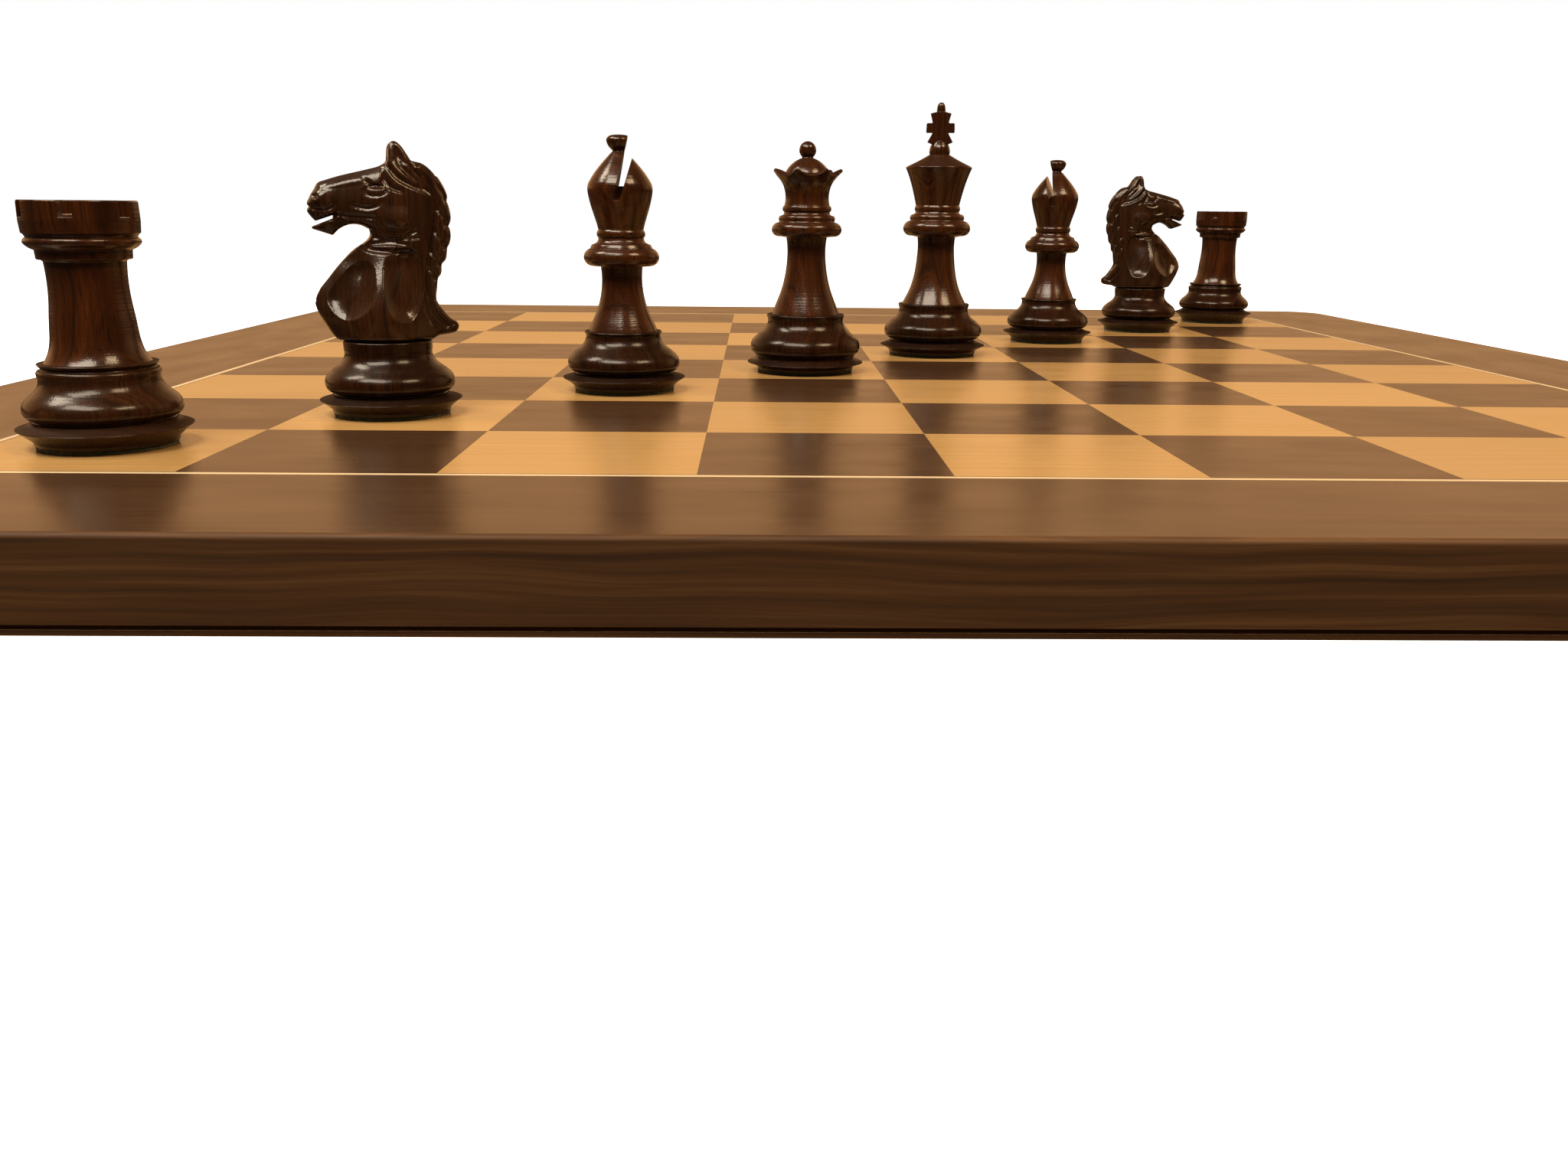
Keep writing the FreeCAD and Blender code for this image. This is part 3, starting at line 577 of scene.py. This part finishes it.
def loop_distance(u, z, loop):
    """Distance to a closed line, positive inside."""
    closed = np.vstack([loop, loop[:1]])
    gap, _ = line_distance(u, z, closed)
    inside = np.zeros(u.shape, bool)
    for a, b in zip(closed[:-1], closed[1:]):
        crosses = (a[1] > z) != (b[1] > z)
        rise = b[1] - a[1] if abs(b[1] - a[1]) > 1e-12 else 1e-12
        inside ^= crosses & (u < (b[0] - a[0]) * (z - a[1]) / rise + a[0])
    return np.where(inside, gap, -gap)


def closed_smooth(points):
    """The same for a closed line."""
    return smooth_run([points[-1]] + points + points[:2])[7:-7]


def oval(u, z, middle, half, rise=0.0, lean=0.0):
    """0 in the middle of an oval and 1 on its line. rise lifts its rear end, lean sets its top forward."""
    long = (u - middle[0] + lean * (z - middle[1])) / half[0]
    high = (z - middle[1] - rise * u) / half[1]
    return np.hypot(long, high)


def spread_widths(u, z):
    """Thin plate through the half widths."""
    k = np.array(WIDTHS, float)
    r = np.hypot(k[:, None, 0] - k[None, :, 0], k[:, None, 1] - k[None, :, 1])
    n = len(k)
    m = np.zeros((n + 3, n + 3))
    m[:n, :n] = r**2 * np.log(r + 1e-9) + 3.0 * np.eye(n)
    m[:n, n] = m[n, :n] = 1
    m[:n, n + 1:] = k[:, :2]
    m[n + 1:, :n] = k[:, :2].T
    w = np.linalg.solve(m, np.concatenate([k[:, 2], np.zeros(3)]))
    out = w[n] + w[n + 1] * u + w[n + 2] * z
    for i in range(n):
        d = np.hypot(u - k[i, 0], z - k[i, 1])
        out += w[i] * d**2 * np.log(d + 1e-9)
    return out


def gouged(u, z, points, deep, across):
    """Hollow with a crisp rim that levels out this far across, at its deepest."""
    gap = np.clip(loop_distance(u, z, closed_smooth(points)) / across, 0, 1)
    return deep * (1 - (1 - gap)**2)


def relief(u, z, width):
    """The half widths, with everything that the knife cut into the sides or left proud of them."""
    for outline, deep, across in HOLLOWS:
        width = width - gouged(u, z, outline, deep, across)
    # the mane stands proud of the neck, in strands that run down the back
    root = smooth_run(MANE_ROOT)
    edge = smooth_run(MANE_EDGE)
    mane = loop_distance(u, z, np.vstack([root, edge[::-1]]))
    width = width + np.clip(0.5 + mane * 0.9, 0, 1) * 0.7
    for share, deep in STRANDS:
        gap, along = line_distance(u, z, root * (1 - share) + edge * share)
        width = width - deep * np.clip(1 - (gap / 0.75)**2, 0, 1) * np.clip(8 * along, 0, 1)
    for start, notch in LOCKS:
        bowed = ((start[0] + notch[0]) / 2 + 0.5, (start[1] + notch[1]) / 2)
        gap, along = line_distance(u, z, smooth_run([start, bowed, notch]))
        width = width - 0.6 * np.clip(1 - (gap / 0.8)**2, 0, 1) * np.clip(4 * along, 0, 1)
    # cheek roundel: a dome with a crisp lower edge
    cheek = oval(u, z, *CHEEK)
    width = width + 1.0 * np.sqrt(np.clip(1 - cheek**2, 0, 1)) * np.clip(1.0 - (z - 50.8) / 3.6, 0, 1)
    # eye in its socket
    socket = oval(u, z, *EYE_SOCKET, rise=0.08)
    width = width - 0.55 * np.clip(1 - socket**2, 0, 1)
    ball = oval(u, z, *EYE_BALL, rise=0.05)
    width = width + 0.75 * np.sqrt(np.clip(1 - ball**2, 0, 1))
    # nostril, and the flare round it
    nose = oval(u, z, *NOSE)
    width = width + 0.7 * np.exp(-(nose**2) * 1.2)
    hole = oval(u, z, *NOSTRIL, lean=0.3)
    width = width - 1.1 * np.clip(1 - hole**2, 0, 1)
    for wide, deep, points in STROKES:
        gap, along = line_distance(u, z, smooth_run(points))
        taper = np.clip(6 * along, 0, 1) * np.clip(6 * (1 - along), 0, 1)
        width = width - deep * np.clip(1 - (gap / wide)**2, 0, 1) * (0.35 + 0.65 * taper)
    for tooth in TEETH:
        gap = (u - tooth - 0.15 * (z - 52)) / 0.28
        width = width - 0.45 * np.exp(-gap**2) * np.clip(1 - abs(z - 51.6) / 1.3, 0, 1)
    gap = loop_distance(u, z, closed_smooth(EAR_HOLLOW))
    width = width - np.clip(0.7 * gap, 0, 0.9)
    return width


def bevel_max(a, b, k):
    """The larger of two fields, with their meeting rounded over k."""
    h = np.clip(k - np.abs(a - b), 0, None) / k
    return np.maximum(a, b) + h * h * k / 4


def carve():
    """Points and faces of the head: a field of distances, meshed where it is zero."""
    us = np.arange(*U_RANGE, VOXEL)
    zs = np.arange(*Z_RANGE, VOXEL)
    ys = np.arange(*Y_RANGE, VOXEL)
    ys -= (ys[0] + ys[-1]) / 2
    u, z = np.meshgrid(us, zs, indexing="ij")
    outer = loop_distance(u, z, silhouette())
    width = relief(u, z, spread_widths(u, z))
    du, dz = np.gradient(width, VOXEL)
    steep = np.sqrt(1 + np.clip(du**2 + dz**2, 0, 9))
    # how much the edge of the side view is rounded
    soft = np.full(u.shape, 2.2)
    soft = np.where(z > 62, np.clip(2.2 - (z - 62) * 0.4, 1.0, 2.2), soft)
    soft = np.where((u < 2.4) & (z > 57), 3.2, soft)
    soft = np.where((u < -9) & (z > 45) & (z < 58), 1.4 + np.clip(z - 53, 0, 4) * 0.3, soft)
    soft = np.where((z < 50.9 + (u + 11.6) * 0.36) & (u < -8) & (z > 45), 1.0, soft)
    soft = np.where(z < 30, 1.4, soft)
    y = ys[None, :, None]
    side = (np.abs(y) - width[:, None, :]) / steep[:, None, :]
    body = bevel_max(side, -outer[:, None, :] + 0 * y, soft[:, None, :])
    # the gap between the ears, and the parting down the back of the mane
    gap = np.clip((z - 65.2) * 0.55, -2, 1.9)
    body = bevel_max(body, (gap[:, None, :] - np.abs(y)) * 0.9, 0.5)
    # the forelock, between two grooves that run down from the ears
    lock = 0.8 * np.clip((u + 2.6) / 3, 0, 1) * np.clip(66.6 - z, 0, 1) * np.clip(z - 61, 0, 1)
    off_line = np.abs(y) - 1.6 - 0.12 * (65 - z[:, None, :])
    groove = lock[:, None, :] - np.sqrt(off_line**2 + outer[:, None, :]**2)
    body = bevel_max(body, np.where(lock[:, None, :] > 0, groove, -9), 0.3)
    back = np.clip((u - 8) / 3, 0, 1) * np.clip((z - 24) / 4, 0, 1)
    parting = 1.1 * back[:, None, :] - np.sqrt(y**2 + outer[:, None, :]**2)
    body = bevel_max(body, np.where(back[:, None, :] > 0, parting, -9), 0.4)
    grid = openvdb.FloatGrid(BAND)
    grid.copyFromArray(np.ascontiguousarray(np.clip(body, -BAND, BAND), dtype=np.float32))
    points, quads = grid.convertToQuads(0.0)
    points = points * VOXEL + np.array([us[0], ys[0], zs[0]])
    return points * MM, quads


def knight_mesh(name):
    points, quads = carve()
    mesh = bpy.data.meshes.new(name)
    mesh.from_pydata(points.tolist(), [], quads[:, ::-1].tolist())
    mesh.validate()
    mesh.shade_smooth()
    return mesh


def place_knights():
    """Both knights are the same carving, turned about their own axis."""
    mesh = knight_mesh("carved_head")
    for piece, turn in KNIGHT_TURN.items():
        own = mesh.copy()
        own.materials.append(nodes[piece + "_head"].material_slots[0].material)
        turned = Matrix.Rotation(math.radians(turn), 4, "Z")
        own.transform(Matrix.Translation(piece_middle(piece)) @ turned)
        head = bpy.data.objects.new(piece + "_carving", own)
        bpy.context.scene.collection.objects.link(head)
        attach(head, piece)
        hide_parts(piece + "_head")


# ---- stage ----
FLOOR_REACH = 6.0
PALE_GREY = (0.70, 0.76, 0.84, 1)
WHITE = (1, 1, 1, 1)


def make_floor():
    """A plain floor that glows, so that it shows as even white, but doesn't light the object or mirror in
    it."""
    mesh = bpy.data.meshes.new("floor")
    reach = FLOOR_REACH
    corners = [(-reach, -reach, 0), (reach, -reach, 0), (reach, reach, 0), (-reach, reach, 0)]
    mesh.from_pydata(corners, [], [(0, 1, 2, 3)])
    pale = Graph("floor").finish(PALE_GREY, 0.9, specular_ior_level=0.0, emission_color=WHITE,
                                 emission_strength=1.0)
    mesh.materials.append(pale)
    floor = bpy.data.objects.new("floor", mesh)
    bpy.context.scene.collection.objects.link(floor)
    floor.visible_glossy = False
    floor.visible_diffuse = False


# The room that the lacquer mirrors: a bright tan wall behind the board, a dim room on the other sides, and a
# ceiling.
DIM = (0.075, 0.045, 0.026)
WALL = (0.80, 0.42, 0.180)
CEILING = (0.085, 0.054, 0.032)
# Where one gives way to the next, along Y or Z of the direction looked in: from here, to there.
DIM_TO_WALL = (0.0, 0.45)
HORIZON = (0.0, 0.06)
WALL_TO_CEILING = (0.25, 0.75)


def make_world():
    """White where the camera looks past the object; the room for what the object mirrors and is lit by."""
    world = bpy.data.worlds.new("room")
    bpy.context.scene.world = world
    world.use_nodes = True
    tree = world.node_tree
    tree.nodes.clear()

    def add(kind, **settings):
        node = tree.nodes.new("ShaderNode" + kind)
        for key, value in settings.items():
            setattr(node, key, value)
        return node

    def link(a, b):
        tree.links.new(a, b)

    def between(value, low, high):
        node = add("MapRange", interpolation_type="SMOOTHSTEP")
        link(value, node.inputs["Value"])
        node.inputs["From Min"].default_value = low
        node.inputs["From Max"].default_value = high
        return node.outputs["Result"]

    def blend(share, a, b):
        node = add("Mix", data_type="RGBA")
        link(share, node.inputs[0])
        for socket, value in ((node.inputs[6], a), (node.inputs[7], b)):
            if isinstance(value, tuple):
                socket.default_value = (*value, 1)
            else:
                link(value, socket)
        return node.outputs[2]

    split = add("SeparateXYZ")
    link(add("TexCoord").outputs["Generated"], split.inputs[0])
    facing = add("Math", operation="MULTIPLY")
    link(between(split.outputs["Y"], *DIM_TO_WALL), facing.inputs[0])
    link(between(split.outputs["Z"], *HORIZON), facing.inputs[1])
    behind = facing.outputs[0]
    up = between(split.outputs["Z"], *WALL_TO_CEILING)
    room = add("Background")
    link(blend(up, blend(behind, DIM, WALL), CEILING), room.inputs["Color"])
    white = add("Background")
    white.inputs["Color"].default_value = WHITE
    pick = add("MixShader")
    link(add("LightPath").outputs["Is Camera Ray"], pick.inputs[0])
    link(room.outputs[0], pick.inputs[1])
    link(white.outputs[0], pick.inputs[2])
    link(pick.outputs[0], add("OutputWorld").inputs["Surface"])


def soft_light(name, azimuth, elevation, distance, wide, tall, power, colour):
    """Area light aimed at the board's middle. Azimuth 0 stands on the camera's side, 90 on the right. Angles
    are degrees, power is watts."""
    light = bpy.data.lights.new(name, "AREA")
    light.shape = "RECTANGLE"
    light.size = wide
    light.size_y = tall
    light.energy = power
    light.color = colour
    a, e = math.radians(azimuth), math.radians(elevation)
    towards = Vector((math.sin(a) * math.cos(e), -math.cos(a) * math.cos(e), math.sin(e)))
    holder = bpy.data.objects.new(name, light)
    bpy.context.scene.collection.objects.link(holder)
    holder.location = towards * distance
    holder.rotation_euler = (-holder.location).to_track_quat("-Z", "Y").to_euler()


# Name, azimuth, elevation, distance, width, height, power and colour of each lamp.
LIGHTS = [
    ("key", -30, 53, 1.7, 1.15, 0.56, 32.0, (1.0, 0.86, 0.68)),
    ("left", -88, 51, 1.7, 0.40, 0.50, 12.0, (1.0, 0.84, 0.64)),
    ("right", 51, 51, 1.7, 0.62, 0.50, 17.0, (1.0, 0.72, 0.42)),
]


make_camera()
dress_board()
dress_pieces()
green = felt("green_felt")
for name in PIECES:
    felt_disc(name, green)
place_knights()
make_floor()
make_world()
for light in LIGHTS:
    soft_light(*light)
bpy.context.scene.view_settings.view_transform = "Standard"
